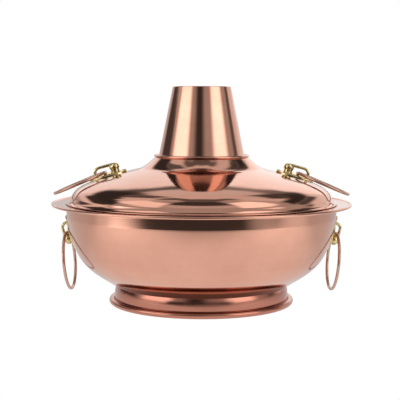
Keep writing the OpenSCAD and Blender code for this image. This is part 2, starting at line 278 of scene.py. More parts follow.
def local_frame(wall):
    """Turns a handle's own axes (+X outward, +Z uphill) to its place on the wall."""
    p, n = wall.at(0)
    x = Vector((n.x, 0, n.y))
    y = Vector((0, 1, 0))
    z = x.cross(y)
    m = Matrix((x, y, z)).transposed().to_4x4()
    m.translation = (p.x, 0, p.y)
    return m


# ---- Geometry Nodes trees ----


def add(tree, kind, inputs=None, **settings):
    """A new node with its settings, and its inputs set or linked by name or number."""
    node = tree.nodes.new(kind)
    for key, value in settings.items():
        setattr(node, key, value)
    for key, value in (inputs or {}).items():
        if isinstance(value, bpy.types.NodeSocket):
            tree.links.new(value, node.inputs[key])
        else:
            node.inputs[key].default_value = value
    return node


def math_node(tree, operation, a, b=0.0):
    return add(tree, "ShaderNodeMath", {0: a, 1: b}, operation=operation).outputs[0]


def parts(tree, vector):
    """The X, Y and Z of a vector socket."""
    return add(tree, "ShaderNodeSeparateXYZ", {0: vector}).outputs


def joined(tree, **values):
    """A vector socket from X, Y and Z."""
    return add(tree, "ShaderNodeCombineXYZ", values).outputs[0]


def new_tree(name, sockets):
    """A geometry tree with a mesh going in and out, and named inputs between."""
    tree = bpy.data.node_groups.new(name, "GeometryNodeTree")
    tree.interface.new_socket("Geometry", in_out="OUTPUT", socket_type="NodeSocketGeometry")
    tree.interface.new_socket("Geometry", in_out="INPUT", socket_type="NodeSocketGeometry")
    for label, kind in sockets:
        tree.interface.new_socket(label, in_out="INPUT", socket_type=kind)
    return tree, tree.nodes.new("NodeGroupInput"), tree.nodes.new("NodeGroupOutput")


def close_tree(tree, geometry, material, out):
    real = add(tree, "GeometryNodeRealizeInstances", {"Geometry": geometry})
    painted = add(tree, "GeometryNodeSetMaterial", {"Geometry": real.outputs[0], "Material": material})
    tree.links.new(painted.outputs[0], out.inputs[0])


def revolve_tree():
    """Turns an outline of points (radius, 0, height) round the Z axis."""
    name = "Revolve"
    if name in bpy.data.node_groups:
        return bpy.data.node_groups[name]
    tree, given, out = new_tree(name, (("Segments", "NodeSocketInt"), ("Material", "NodeSocketMaterial")))
    outline, segments = given.outputs["Geometry"], given.outputs["Segments"]
    count = add(tree, "GeometryNodeAttributeDomainSize", {"Geometry": outline}).outputs["Point Count"]
    around = math_node(tree, "ADD", segments, 1.0)
    grid = add(tree, "GeometryNodeMeshGrid", {"Vertices X": around, "Vertices Y": count})
    index = tree.nodes.new("GeometryNodeInputIndex").outputs[0]
    row = math_node(tree, "MODULO", index, count)
    column = math_node(tree, "FLOOR", math_node(tree, "DIVIDE", index, count))
    position = tree.nodes.new("GeometryNodeInputPosition").outputs[0]
    sample = add(
        tree, "GeometryNodeSampleIndex", {"Geometry": outline, "Value": position, "Index": row},
        data_type="FLOAT_VECTOR",
    )
    place = parts(tree, sample.outputs[0])
    angle = math_node(tree, "MULTIPLY", math_node(tree, "DIVIDE", column, segments), 2 * math.pi)
    x = math_node(tree, "MULTIPLY", place["X"], math_node(tree, "COSINE", angle))
    y = math_node(tree, "MULTIPLY", place["X"], math_node(tree, "SINE", angle))
    turned = joined(tree, X=x, Y=y, Z=place["Z"])
    moved = add(tree, "GeometryNodeSetPosition", {"Geometry": grid.outputs["Mesh"], "Position": turned})
    merged = add(tree, "GeometryNodeMergeByDistance", {"Geometry": moved.outputs[0], "Distance": 2e-6})
    close_tree(tree, merged.outputs[0], given.outputs["Material"], out)
    return tree


def ring_tree():
    """A wire ring that stands in the YZ plane and hangs from the origin."""
    name = "Hanging ring"
    if name in bpy.data.node_groups:
        return bpy.data.node_groups[name]
    tree, given, out = new_tree(
        name, (("Radius", "NodeSocketFloat"), ("Wire", "NodeSocketFloat"), ("Material", "NodeSocketMaterial"))
    )
    circle = add(
        tree, "GeometryNodeCurvePrimitiveCircle", {"Resolution": 180, "Radius": given.outputs["Radius"]}
    )
    drop = math_node(tree, "MULTIPLY", given.outputs["Radius"], -1.0)
    centre = joined(tree, Z=drop)
    stood = add(
        tree, "GeometryNodeTransform",
        {"Geometry": circle.outputs["Curve"], "Translation": centre, "Rotation": (0, math.pi / 2, 0)},
    )
    section = add(
        tree, "GeometryNodeCurvePrimitiveCircle", {"Resolution": 28, "Radius": given.outputs["Wire"]}
    )
    tube = add(
        tree, "GeometryNodeCurveToMesh",
        {"Curve": stood.outputs[0], "Profile Curve": section.outputs["Curve"]},
    )
    close_tree(tree, tube.outputs[0], given.outputs["Material"], out)
    return tree


def rivet_tree():
    """A domed rivet at every point, standing along the point's attribute called outward."""
    name = "Rivets"
    if name in bpy.data.node_groups:
        return bpy.data.node_groups[name]
    tree, given, out = new_tree(
        name,
        (("Head", "NodeSocketFloat"), ("Grip", "NodeSocketFloat"), ("Material", "NodeSocketMaterial")),
    )
    head, grip = given.outputs["Head"], given.outputs["Grip"]
    ball = {"Segments": 32, "Rings": 18, "Radius": head}
    dome = add(tree, "GeometryNodeMeshUVSphere", ball).outputs["Mesh"]
    outer = add(tree, "GeometryNodeTransform", {"Geometry": dome, "Scale": (1, 1, 0.42)})
    sunk = joined(tree, Z=math_node(tree, "MULTIPLY", grip, -1.0))
    inner = add(
        tree, "GeometryNodeTransform", {"Geometry": dome, "Scale": (1, 1, 0.34), "Translation": sunk}
    )
    middle = joined(tree, Z=math_node(tree, "MULTIPLY", grip, -0.5))
    shank = add(
        tree, "GeometryNodeMeshCylinder",
        {"Vertices": 24, "Radius": math_node(tree, "MULTIPLY", head, 0.6), "Depth": grip},
    )
    shank = add(tree, "GeometryNodeTransform", {"Geometry": shank.outputs["Mesh"], "Translation": middle})
    join = tree.nodes.new("GeometryNodeJoinGeometry")
    for piece in (outer, inner, shank):
        tree.links.new(piece.outputs[0], join.inputs[0])
    direction = add(tree, "GeometryNodeInputNamedAttribute", {"Name": "outward"}, data_type="FLOAT_VECTOR")
    turn = add(tree, "FunctionNodeAlignRotationToVector", {"Vector": direction.outputs[0]}, axis="Z")
    placed = add(
        tree, "GeometryNodeInstanceOnPoints",
        {"Points": given.outputs["Geometry"], "Instance": join.outputs[0], "Rotation": turn.outputs[0]},
    )
    close_tree(tree, placed.outputs[0], given.outputs["Material"], out)
    return tree


# ---- making and finishing pieces ----


def linked(name, mesh):
    piece = bpy.data.objects.new(name, mesh)
    bpy.context.scene.collection.objects.link(piece)
    return piece


def frozen(piece):
    """Turns the piece's modifiers into a plain mesh."""
    evaluated = piece.evaluated_get(bpy.context.evaluated_depsgraph_get())
    mesh = bpy.data.meshes.new_from_object(evaluated)
    piece.modifiers.clear()
    piece.data = mesh
    return piece


def grown(name, seed, tree, inputs):
    """A piece made from a seed mesh by a Geometry Nodes tree."""
    piece = linked(name, seed)
    shape = piece.modifiers.new("Shape", "NODES")
    shape.node_group = tree
    for item in tree.interface.items_tree:
        if item.item_type == "SOCKET" and item.in_out == "INPUT" and item.name in inputs:
            shape[item.identifier] = inputs[item.name]
    return frozen(piece)


def outline_mesh(name, outline):
    mesh = bpy.data.meshes.new(name)
    mesh.from_pydata([(p[0], 0, p[1]) for p in outline], [], [])
    return mesh


def spun(name, outline, material):
    """A closed outline turned into a spun piece."""
    segments = bpy.context.scene.hotpot_shape.segments
    seed = outline_mesh(name, list(outline) + [outline[0]])
    piece = grown(name, seed, revolve_tree(), {"Segments": segments, "Material": material})
    smooth(piece)
    return piece


def smooth(piece, angle=40):
    """Outward faces, smooth except where they turn by more than the angle."""
    bm = bmesh.new()
    bm.from_mesh(piece.data)
    bmesh.ops.remove_doubles(bm, verts=bm.verts, dist=1e-6)
    bmesh.ops.recalc_face_normals(bm, faces=bm.faces)
    bm.to_mesh(piece.data)
    bm.free()
    piece.data.shade_smooth()
    piece.data.set_sharp_from_angle(angle=math.radians(angle))


def line(piece, material, is_inner):
    """Gives a second material to the faces for which is_inner(radius, radial, up, height) is true."""
    piece.data.materials.append(material)
    slot = len(piece.data.materials) - 1
    for face in piece.data.polygons:
        centre, normal = face.center, face.normal
        radius = math.hypot(centre.x, centre.y)
        radial = (normal.x * centre.x + normal.y * centre.y) / max(radius, 1e-6)
        if is_inner(radius, radial, normal.z, centre.z):
            face.material_index = slot


def fit(piece, body, slot, *nodes):
    """Puts a finished piece on its body, in place of its nodes."""
    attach(piece, body)
    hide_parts(*nodes)
    return piece


def mesh_object(name, vertices, faces, material):
    mesh = bpy.data.meshes.new(name)
    mesh.from_pydata([tuple(v) for v in vertices], [], faces)
    mesh.materials.append(material)
    return linked(name, mesh)


def on_side(piece, sign):
    """Mirrors a piece that was made on the +X side, when it belongs on the other."""
    if sign < 0:
        piece.data.transform(Matrix.Scale(-1, 4, (1, 0, 0)))
    smooth(piece)
    return piece


# ---- materials ----


def new_material(name):
    """A material, its empty tree and the place on the piece that its patterns follow."""
    material = bpy.data.materials.new(name)
    material.use_nodes = True
    tree = material.node_tree
    tree.nodes.clear()
    return material, tree, tree.nodes.new("ShaderNodeTexCoord").outputs["Object"]


def noise(tree, place, scale, detail=2.0, rough=0.5):
    return add(
        tree, "ShaderNodeTexNoise",
        {"Vector": place, "Scale": scale, "Detail": detail, "Roughness": rough},
    ).outputs[0]


def spun_place(tree, place):
    """(radius, height) as a texture place, the same all the way round the Z axis."""
    xyz = parts(tree, place)
    flat = joined(tree, X=xyz["X"], Y=xyz["Y"])
    radius = add(tree, "ShaderNodeVectorMath", {0: flat}, operation="LENGTH").outputs["Value"]
    return joined(tree, X=radius, Y=xyz["Z"])


def remap(tree, value, low, high, to_low, to_high):
    """Maps low..high to to_low..to_high, held at both ends."""
    return add(
        tree, "ShaderNodeMapRange",
        {"Value": value, "From Min": low, "From Max": high, "To Min": to_low, "To Max": to_high},
    ).outputs[0]


def blend(tree, factor, a, b):
    """Mix of two colours, each a socket or an RGB."""
    node = add(tree, "ShaderNodeMix", data_type="RGBA")
    tree.links.new(factor, node.inputs["Factor"])
    for socket, colour in ((node.inputs[6], a), (node.inputs[7], b)):
        if isinstance(colour, bpy.types.NodeSocket):
            tree.links.new(colour, socket)
        else:
            socket.default_value = (*colour, 1)
    return node.outputs[2]


def bump(tree, height, distance, strength=1.0, under=None):
    inputs = {"Height": height, "Distance": distance, "Strength": strength}
    if under is not None:
        inputs["Normal"] = under
    return add(tree, "ShaderNodeBump", inputs).outputs[0]


def metal(tree, colour, roughness, normal, metallic=1.0):
    """The metal shader: colour, roughness and normal are sockets."""
    shader = add(
        tree, "ShaderNodeBsdfPrincipled",
        {"Base Color": colour, "Roughness": roughness, "Normal": normal, "Metallic": metallic},
    )
    out = tree.nodes.new("ShaderNodeOutputMaterial")
    tree.links.new(shader.outputs[0], out.inputs["Surface"])


def spun_copper(name, bright, dark, roughness, tarnish, painted_shade_top=None):
    """Polished copper with the fine circular lines of spinning and a faint patina.

    Below the given height the copper is painted near-black: painted shade low on the bowl, over its foot.
    """
    material, tree, place = new_material(name)
    turned = spun_place(tree, place)
    lines = noise(tree, turned, 1300, 3, 0.6)
    bands = noise(tree, turned, 130, 2, 0.5)
    cloud = noise(tree, place, 22, 5, 0.6)
    patina = remap(tree, math_node(tree, "ADD", math_node(tree, "MULTIPLY", bands, 0.35), cloud),
                   0.45, 1.05, 0.0, tarnish)
    colour = blend(tree, patina, bright, dark)
    # painted shade: below this height the colour goes near-black, with a ragged edge
    if painted_shade_top is not None:
        height = parts(tree, turned)["Y"]
        edge = math_node(tree, "ADD", height, remap(tree, cloud, 0.3, 0.7, -0.0008, 0.0008))
        colour = blend(tree, remap(tree, edge, painted_shade_top, painted_shade_top - 0.0015, 0.0, 0.93), colour, (0.06, 0.025, 0.015))
    rough = math_node(tree, "ADD", remap(tree, cloud, 0.35, 0.7, roughness * 0.8, roughness * 1.5),
                      remap(tree, lines, 0.3, 0.7, 0.0, 0.03))
    waves = bump(tree, noise(tree, place, 9, 1), 0.0010, 0.5)
    rings = bump(tree, bands, 0.00005, 0.5, waves)
    metal(tree, colour, rough, bump(tree, lines, 0.000006, 0.6, rings))
    return material


def wire_copper(name, bright, dark):
    """Drawn copper wire, darkened by handling and rubbed bright in places."""
    material, tree, place = new_material(name)
    cloud = noise(tree, place, 45, 3, 0.5)
    fine = noise(tree, place, 900, 3, 0.6)
    colour = blend(tree, remap(tree, cloud, 0.4, 0.65, 0.0, 0.6), bright, dark)
    rough = remap(tree, fine, 0.3, 0.7, 0.12, 0.20)
    metal(tree, colour, rough, bump(tree, fine, 0.000006, 0.5))
    return material


def cast_brass(name, bright, dark):
    """Cast brass, polished, with darker patches scattered over it by a noise pattern."""
    material, tree, place = new_material(name)
    cloud = noise(tree, place, 180, 4, 0.6)
    grain = noise(tree, place, 1100, 3, 0.7)
    colour = blend(tree, remap(tree, cloud, 0.46, 0.66, 0.0, 0.7), bright, dark)
    rough = remap(tree, grain, 0.3, 0.7, 0.12, 0.24)
    pits = bump(tree, cloud, 0.00002, 0.4)
    metal(tree, colour, rough, bump(tree, grain, 0.000002, 0.5, pits))
    return material


def tin_lining(name, tin):
    """Wiped tin: dull, with the marks of the cloth running round."""
    material, tree, place = new_material(name)
    turned = spun_place(tree, place)
    wipe = noise(tree, turned, 420, 4, 0.7)
    cloud = noise(tree, place, 30, 5, 0.6)
    dull = tuple(0.62 * c for c in tin)
    colour = blend(tree, remap(tree, cloud, 0.35, 0.7, 0.0, 0.8), tin, dull)
    rough = remap(tree, wipe, 0.3, 0.7, 0.28, 0.45)
    metal(tree, colour, rough, bump(tree, wipe, 0.00004, 0.5))
    return material


def sooted_copper(name, dark):
    """Inside of the flue: copper under soot, which thickens downwards."""
    material, tree, place = new_material(name)
    height = parts(tree, place)["Z"]
    cloud = noise(tree, place, 70, 6, 0.65)
    depth = remap(tree, height, 0.215, 0.15, 0.25, 0.95)
    cover = math_node(tree, "ADD", depth, math_node(tree, "MULTIPLY", cloud, 0.6))
    soot = remap(tree, cover, 0.4, 1.2, 0.2, 1.0)
    colour = blend(tree, soot, dark, (0.012, 0.011, 0.010))
    rough = remap(tree, cloud, 0.3, 0.7, 0.45, 0.8)
    metal(tree, colour, rough, bump(tree, cloud, 0.0002, 0.6), 0.6)
    return material


def cast_iron(name, colour):
    """Rough cast iron with patches of ash."""
    material, tree, place = new_material(name)
    grain = noise(tree, place, 500, 6, 0.7)
    cloud = noise(tree, place, 60, 4, 0.6)
    ash = remap(tree, cloud, 0.5, 0.72, 0.0, 0.6)
    shade = blend(tree, ash, colour, (0.22, 0.21, 0.20))
    rough = remap(tree, grain, 0.3, 0.7, 0.6, 0.85)
    metal(tree, shade, rough, bump(tree, grain, 0.0003, 0.7), 0.4)
    return material


def plain_steel(name, colour):
    """Rolled steel sheet with light scratches."""
    material, tree, place = new_material(name)
    stretched = add(tree, "ShaderNodeMapping", {"Vector": place, "Scale": (1, 14, 1)}).outputs[0]
    grain = noise(tree, stretched, 260, 4, 0.7)
    shade = blend(tree, remap(tree, grain, 0.3, 0.7, 0.0, 1.0), colour, tuple(0.75 * c for c in colour))
    rough = remap(tree, grain, 0.3, 0.7, 0.28, 0.42)
    metal(tree, shade, rough, bump(tree, grain, 0.00003, 0.5))
    return material


MAKERS = {
    # the bowl's copper has painted shade below 25.5 mm, low over the foot
    "bowl_copper": lambda f: spun_copper("bowl_copper", f.copper, f.copper_dark, f.polish, 0.45, 0.0255),
    "shaded_foot_copper": lambda f: spun_copper("shaded_foot_copper", f.shaded_foot_copper, f.copper_dark, 0.14, 0.45),
    "spun_copper": lambda f: spun_copper("spun_copper", f.copper, f.copper_dark, f.polish, 0.45),
    "ring_copper": lambda f: wire_copper(
        "ring_copper", f.ring_copper, tuple(0.35 * c for c in f.ring_copper)
    ),
    "cast_brass": lambda f: cast_brass("cast_brass", f.brass, f.brass_dark),
    "tin_lining": lambda f: tin_lining("tin_lining", f.tin),
    "sooted_copper": lambda f: sooted_copper("sooted_copper", f.copper_dark),
    "cast_iron": lambda f: cast_iron("cast_iron", f.iron),
    "plain_steel": lambda f: plain_steel("plain_steel", f.steel),
}


def finish_of(name):
    """The named material, made when it is first asked for."""
    if name not in bpy.data.materials:
        MAKERS[name](bpy.context.scene.hotpot_finish)
    return bpy.data.materials[name]


# ---- operators ----


class HOTPOT_OT_bowl(Operator):
    """Spins the bowl with its flat flange, rolled rim and tin lining"""

    bl_idname = "hotpot.bowl"
    bl_label = "Bowl"

    def execute(self, context):
        shape = context.scene.hotpot_shape
        flange = shape.rim_height - shape.wall
        bead = (shape.rim_radius - shape.rim_bead, flange + 0.7 * MM)
        hole = Vector((flue_radius(FLOOR_Z), FLOOR_Z))
        side = [hole, Vector((FLOOR_R, FLOOR_Z))] + bowl_side()
        corner = 0.7 * MM
        inner_top = (shape.neck_radius + 0.3 * MM - shape.wall + corner, shape.rim_height - corner)
        outline = side + arc((shape.neck_radius + 1.5 * MM, flange - 1.2 * MM), 1.2 * MM, 180, 90, 6)
        outline += arc(bead, shape.rim_bead, -147.4, 157.4, 24) + arc(inner_top, corner, 90, 180, 5)
        outline += shifted(side, -shape.wall)[::-1]
        piece = spun("bowl_shell", outline, finish_of("bowl_copper"))
        line(
            piece, finish_of("tin_lining"),
            lambda r, radial, up, z: r < TIN_EDGE_R and (up > 0.3 or radial < -0.05),
        )
        fit(piece, "pot", "copper", "bowl")
        return {"FINISHED"}


class HOTPOT_OT_foot(Operator):
    """Spins the foot, cuts its draught holes and closes it with the ash pan"""

    bl_idname = "hotpot.foot"
    bl_label = "Foot"

    def inner_radius(self, z):
        return 86.3 * MM - (z - PAN_Z) * 1.5 / 10.7

    def execute(self, context):
        shape = context.scene.hotpot_shape
        under = FLOOR_Z - shape.wall
        bead = (shape.foot_radius - shape.foot_bead, shape.foot_bead - 0.2 * MM)
        inner = self.inner_radius
        outline = [Vector((inner(PAN_Z), PAN_Z)), Vector((88.0 * MM, 3.0 * MM))]
        flat = math.degrees(math.acos(bead[1] / shape.foot_bead))
        outline += arc(bead, shape.foot_bead, 200, 270 - flat, 8)
        outline += arc(bead, shape.foot_bead, -90 + flat, 139, 28)
        outline += cubic(FOOT_SIDE, 16) + [Vector((FLOOR_R, FLOOR_Z))]
        outline += [Vector((76.0 * MM, FLOOR_Z)), Vector((76.0 * MM, under)), Vector((inner(under), under))]
        piece = spun("foot_shell", outline, finish_of("shaded_foot_copper"))
        self.cut_draught_holes(piece, shape)
        fit(piece, "pot", "copper", "foot_ring")
        rim, floor = PAN_Z + 2 * MM, PAN_Z + 1 * MM
        pan = [Vector((0, PAN_Z)), Vector((inner(PAN_Z), PAN_Z)), Vector((inner(rim), rim))]
        pan += [Vector((inner(rim) - 1 * MM, rim)), Vector((inner(PAN_Z) - 1 * MM, floor))]
        pan.append(Vector((0, floor)))
        fit(spun("ash_pan_sheet", pan, finish_of("plain_steel")), "pot", "steel", "ash_pan")
        return {"FINISHED"}

    def cut_draught_holes(self, piece, shape):
        bm = bmesh.new()
        radius = shape.draught_hole / 2
        for i in range(shape.draught_holes):
            turn = math.pi / 2 + (i - (shape.draught_holes - 1) / 2) * DRAUGHT_STEP
            place = Matrix.Rotation(turn, 4, "Z") @ Matrix.Translation((86 * MM, 0, DRAUGHT_Z))
            bmesh.ops.create_cone(
                bm, cap_ends=True, segments=40, radius1=radius, radius2=radius, depth=12 * MM,
                matrix=place @ Matrix.Rotation(math.pi / 2, 4, "Y"),
            )
        mesh = bpy.data.meshes.new("draught_cutter")
        bm.to_mesh(mesh)
        bm.free()
        cutter = linked("draught_cutter", mesh)
        cut = piece.modifiers.new("Draught", "BOOLEAN")
        cut.operation = "DIFFERENCE"
        cut.solver = "EXACT"
        cut.object = cutter
        frozen(piece)
        bpy.data.objects.remove(cutter)
        smooth(piece)


class HOTPOT_OT_fire_tube(Operator):
    """Spins the charcoal tube with its spigot, and the ledge inside it"""

    bl_idname = "hotpot.fire_tube"
    bl_label = "Charcoal tube"

    def execute(self, context):
        shape = context.scene.hotpot_shape
        joint, low, top = shape.flue_joint, 11 * MM, shape.flue_joint + 8 * MM
        step = shape.wall + SPIGOT_GAP
        inner = step + SPIGOT_WALL
        places = (
            (low, 0), (joint, 0), (joint, step), (top, step), (top, inner),
            (joint - 1 * MM, inner), (joint - 3 * MM, shape.wall), (low, shape.wall),
        )
        outline = [Vector((flue_radius(z) - inset, z)) for z, inset in places]
        piece = spun("fire_tube_shell", outline, finish_of("tin_lining"))
        line(piece, finish_of("sooted_copper"), lambda r, radial, up, z: radial < -0.05 or z < FLOOR_Z)
        fit(piece, "pot", "copper", "fire_tube")
        r, z0, z1 = LEDGE
        ledge = [(r, z0), (flue_radius(z0) - shape.wall, z0), (flue_radius(z1) - shape.wall, z1), (r, z1)]
        fit(spun("grate_ledge_ring", [Vector(p) for p in ledge], finish_of("sooted_copper")), "pot", "copper",
            "grate_ledge")
        return {"FINISHED"}


class HOTPOT_OT_grate(Operator):
    """Softens the edges of the iron grate"""

    bl_idname = "hotpot.grate"
    bl_label = "Grate"

    def execute(self, context):
        bm = bmesh.new()
        bm.from_mesh(frame["nodes"]["charcoal_grate"].data)
        bmesh.ops.remove_doubles(bm, verts=bm.verts, dist=1e-6)
        bmesh.ops.dissolve_limit(bm, angle_limit=math.radians(1), verts=bm.verts, edges=bm.edges)
        mesh = bpy.data.meshes.new("grate_casting")
        bm.to_mesh(mesh)
        bm.free()
        mesh.materials.append(finish_of("cast_iron"))
        piece = linked("grate_casting", mesh)
        soft = piece.modifiers.new("Soft edges", "BEVEL")
        soft.width = 0.7 * MM
        soft.segments = 3
        soft.limit_method = "ANGLE"
        frozen(piece)
        smooth(piece)
        fit(piece, "pot", "iron", "charcoal_grate")
        return {"FINISHED"}


class HOTPOT_OT_chimney(Operator):
    """Spins the open chimney"""

    bl_idname = "hotpot.chimney"
    bl_label = "Chimney"

    def execute(self, context):
        shape = context.scene.hotpot_shape
        low, top, round_r = CHIMNEY_LOW.z, CHIMNEY_HIGH.z, shape.wall / 2
        lip = (shape.chimney_top - round_r, top - round_r)
        outline = [Vector((flue_radius(low), low))] + arc(lip, round_r, 0, 180, 8)
        outline.append(Vector((flue_radius(low) - shape.wall, low)))
        steps = 24
        wall = [outline[0].lerp(outline[1], i / steps) for i in range(steps)] + outline[1:]
        piece = spun("chimney_cone", wall, finish_of("spun_copper"))
        line(piece, finish_of("sooted_copper"), lambda r, radial, up, z: radial < -0.3)
        fit(piece, "chimney", "copper", "chimney")
        return {"FINISHED"}


class HOTPOT_OT_lid(Operator):
    """Spins the lid with its turned-out edge, rolled lip and tin lining"""

    bl_idname = "hotpot.lid"
    bl_label = "Lid"

    def execute(self, context):
        shape = context.scene.hotpot_shape
        half = shape.lid_wall / 2
        top = lid_top()
        under = shifted(top, -shape.lid_wall)
        lip = (LID_NECK[3][0] * MM, shape.lip_height - shape.lip_bead)
        edge = (shape.lid_edge - half, top[0].y - half)
        outline = arc(edge, half, -90, 90, 8) + top[:-1] + arc(lip, shape.lip_bead, -30, 250, 24)
        outline += under[::-1][1:]
        piece = spun("lid_shell", outline, finish_of("spun_copper"))
        line(
            piece, finish_of("tin_lining"),
            lambda r, radial, up, z: 0.0475 < r < 0.133 and (up < -0.3 or radial < -0.05),
        )
        fit(piece, "lid", "copper", "lid")
        return {"FINISHED"}


class HOTPOT_OT_plates(Operator):
    """Lays a crowned oval plate on the wall under each handle"""

    bl_idname = "hotpot.plates"
    bl_label = "Handle plates"

    def execute(self, context):
        shape = context.scene.hotpot_shape
        for group, body, wall, length, shift, crown in (
            ("bowl", "pot", bowl_wall(), shape.plate_length, 0.0, 1.2 * MM),
            ("lid", "lid", lid_wall(), shape.plate_length + 2.8 * MM, -1.4 * MM, 2.0 * MM),
        ):
            for side, sign in SIDES.items():
                name = f"{group}_plate_{side}"
                piece = self.plate(name + "_oval", wall, shape, length, shift, crown)
                fit(on_side(piece, sign), body, "brass", name)
        return {"FINISHED"}

    def plate(self, name, wall, shape, length, shift, crown):
        """An oval shell: rings from the centre out over the edge, then back under."""
        around = 72
        edge = 0.7 * MM  # radius of the plate's rounded edge
        thickness = shape.plate_thickness - PLATE_THINNING
        rings = [(i / 8, thickness) for i in range(8)]
        for i in range(7):
            a = math.radians(90 * i / 6)
            rings.append((1 - edge / (length / 2) * (1 - math.sin(a)), thickness - edge * (1 - math.cos(a))))
        rings.append((1.0, -PLATE_SINK))
        vertices, faces = [], []
        for share, height in rings[1:]:
            for k in range(around):
                a = 2 * math.pi * k / around
                s = shift + share * length / 2 * math.cos(a)
                raised = height + crown * (1 - share * share)
                vertices.append(wall.point(s, share * shape.plate_width / 2 * math.sin(a), raised))
        centre = len(vertices)
        vertices.append(wall.point(shift, 0, thickness + crown))
        vertices.append(wall.point(shift, 0, -PLATE_SINK))
        last = (len(rings) - 2) * around
        for k in range(around):
            n = (k + 1) % around
            faces.append((centre, k, n))
            faces.append((last + n, last + k, centre + 1))
            for row in range(0, last, around):
                faces.append((row + k, row + around + k, row + around + n, row + n))
        return mesh_object(name, vertices, faces, finish_of("cast_brass"))


class HOTPOT_OT_eyes(Operator):
    """Casts the eyes that the rings hang in: a bent rod with a round boss at its heavy end"""

    bl_idname = "hotpot.eyes"
    bl_label = "Handle eyes"

    def execute(self, context):
        shape = context.scene.hotpot_shape
        for group, body, wall, height, leg, bend, is_turned in (
            ("bowl", "pot", bowl_wall(), shape.bowl_eye_height, 10.2 * MM, 4.8 * MM, False),
            ("lid", "lid", lid_wall(), shape.lid_eye_height, 14.1 * MM, 5.6 * MM, True),
        ):
            for side, sign in SIDES.items():
                name = f"{group}_eye_{side}"
                piece = self.eye(name + "_casting", shape, height, leg, bend, group == "bowl")
                turn = Matrix.Rotation(math.pi, 4, "X") if is_turned else Matrix.Identity(4)
                piece.data.transform(local_frame(wall) @ turn)
                fit(on_side(piece, sign), body, "brass", name)
        return {"FINISHED"}

    def eye(self, name, shape, height, leg, bend, has_web):
        """The casting in its own axes: +X outward, thin leg at +Z, boss at -Z."""
        rod = shape.eye_rod / 2
        boss_z, boss_x = -6.6 * MM, height - 2.9 * MM
        path = [Vector((-0.6 * MM, leg)), Vector((height - bend, leg))]
        path += arc((height - bend, leg - bend), bend, 90, 0, 10)[1:]
        path.append(Vector((height, boss_z + 2 * MM)))
        bm = bmesh.new()
        self.sweep(bm, path, rod + 0.15 * MM)  # smoothing takes it off again
        place = Matrix.Translation((boss_x, 0, boss_z))
        wider = Matrix.Diagonal((1.0, 1.1, 1.2, 1.0))
        bmesh.ops.create_uvsphere(
            bm, u_segments=32, v_segments=20, radius=shape.eye_boss / 2, matrix=place @ wider
        )
        neck = Matrix.Translation((boss_x / 2 - 0.2 * MM, 0, boss_z)) @ Matrix.Rotation(math.pi / 2, 4, "Y")
        bmesh.ops.create_cone(
            bm, cap_ends=True, segments=32, radius1=4.8 * MM, radius2=3.8 * MM,
            depth=boss_x + 0.4 * MM, matrix=neck,
        )
        if has_web:
            self.web(bm, rod, boss_z)
        mesh = bpy.data.meshes.new(name)
        bm.to_mesh(mesh)
        bm.free()
        piece = linked(name, mesh)
        skin = piece.modifiers.new("Skin", "REMESH")
        skin.mode = "VOXEL"
        skin.voxel_size = 0.25 * MM
        soft = piece.modifiers.new("Soft", "SMOOTH")
        soft.factor = 0.5
        soft.iterations = 6
        frozen(piece)
        piece.data.materials.clear()
        piece.data.materials.append(finish_of("cast_brass"))
        return piece

    def sweep(self, bm, path, radius, around=16):
        """A closed round rod along a path in the XZ plane."""
        rings = []
        for i, p in enumerate(path):
            n = outward(path, i)
            centre, side = Vector((p.x, 0, p.y)), Vector((n.x, 0, n.y))
            ring = []
            for k in range(around):
                a = 2 * math.pi * k / around
                spoke = math.cos(a) * side + math.sin(a) * Vector((0, 1, 0))
                ring.append(bm.verts.new(centre + radius * spoke))
            rings.append(ring)
        for a, b in zip(rings, rings[1:]):
            for k in range(around):
                n = (k + 1) % around
                bm.faces.new((a[k], a[n], b[n], b[k]))
        bm.faces.new(rings[0])
        bm.faces.new(rings[-1][::-1])

    def web(self, bm, rod, boss_z):
        """The web under the wire, with a hollow seat for it."""
        seat = (PIVOTS["bowl_ring_right"].x - 131.75 * MM, 0.8 * MM)
        outline = [Vector((-0.4 * MM, boss_z)), Vector((4.4 * MM, boss_z))]
        outline += arc(seat, 1.9 * MM, 270, 205, 6) + [Vector((-0.4 * MM, -0.2 * MM))]
        front = [bm.verts.new((p.x, -rod, p.y)) for p in outline]
        back = [bm.verts.new((p.x, rod, p.y)) for p in outline]
        bm.faces.new(front)
        bm.faces.new(back[::-1])
        for k in range(len(outline)):
            n = (k + 1) % len(outline)
            bm.faces.new((front[k], back[k], back[n], front[n]))


class HOTPOT_OT_rivets(Operator):
    """Sets the rivets that hold the plates"""

    bl_idname = "hotpot.rivets"
    bl_label = "Rivets"

    def execute(self, context):
        shape = context.scene.hotpot_shape
        for group, body, wall, places, sheet in (
            ("bowl", "pot", bowl_wall(), (-15.5 * MM, 15.1 * MM), shape.wall),
            ("lid", "lid", lid_wall(), (-18.2 * MM, 15.3 * MM), shape.lid_wall),
        ):
            for side, sign in SIDES.items():
                points, directions = [], []
                for s in places:
                    p, n = wall.at(s)
                    n3 = Vector((n.x * sign, 0, n.y))
                    points.append(Vector((p.x * sign, 0, p.y)) + (shape.plate_thickness - 0.1 * MM) * n3)
                    directions.append(n3)
                name = f"{group}_rivets_{side}"
                mesh = bpy.data.meshes.new(name)
                mesh.from_pydata(points, [], [])
                stored = mesh.attributes.new("outward", "FLOAT_VECTOR", "POINT")
                for k, n3 in enumerate(directions):
                    stored.data[k].vector = n3
                inputs = {
                    "Head": shape.rivet_head / 2,
                    "Grip": shape.plate_thickness + sheet,
                    "Material": finish_of("cast_brass"),
                }
                piece = grown(name + "_set", mesh, rivet_tree(), inputs)
                smooth(piece)
                fit(piece, body, "brass", name)
        return {"FINISHED"}


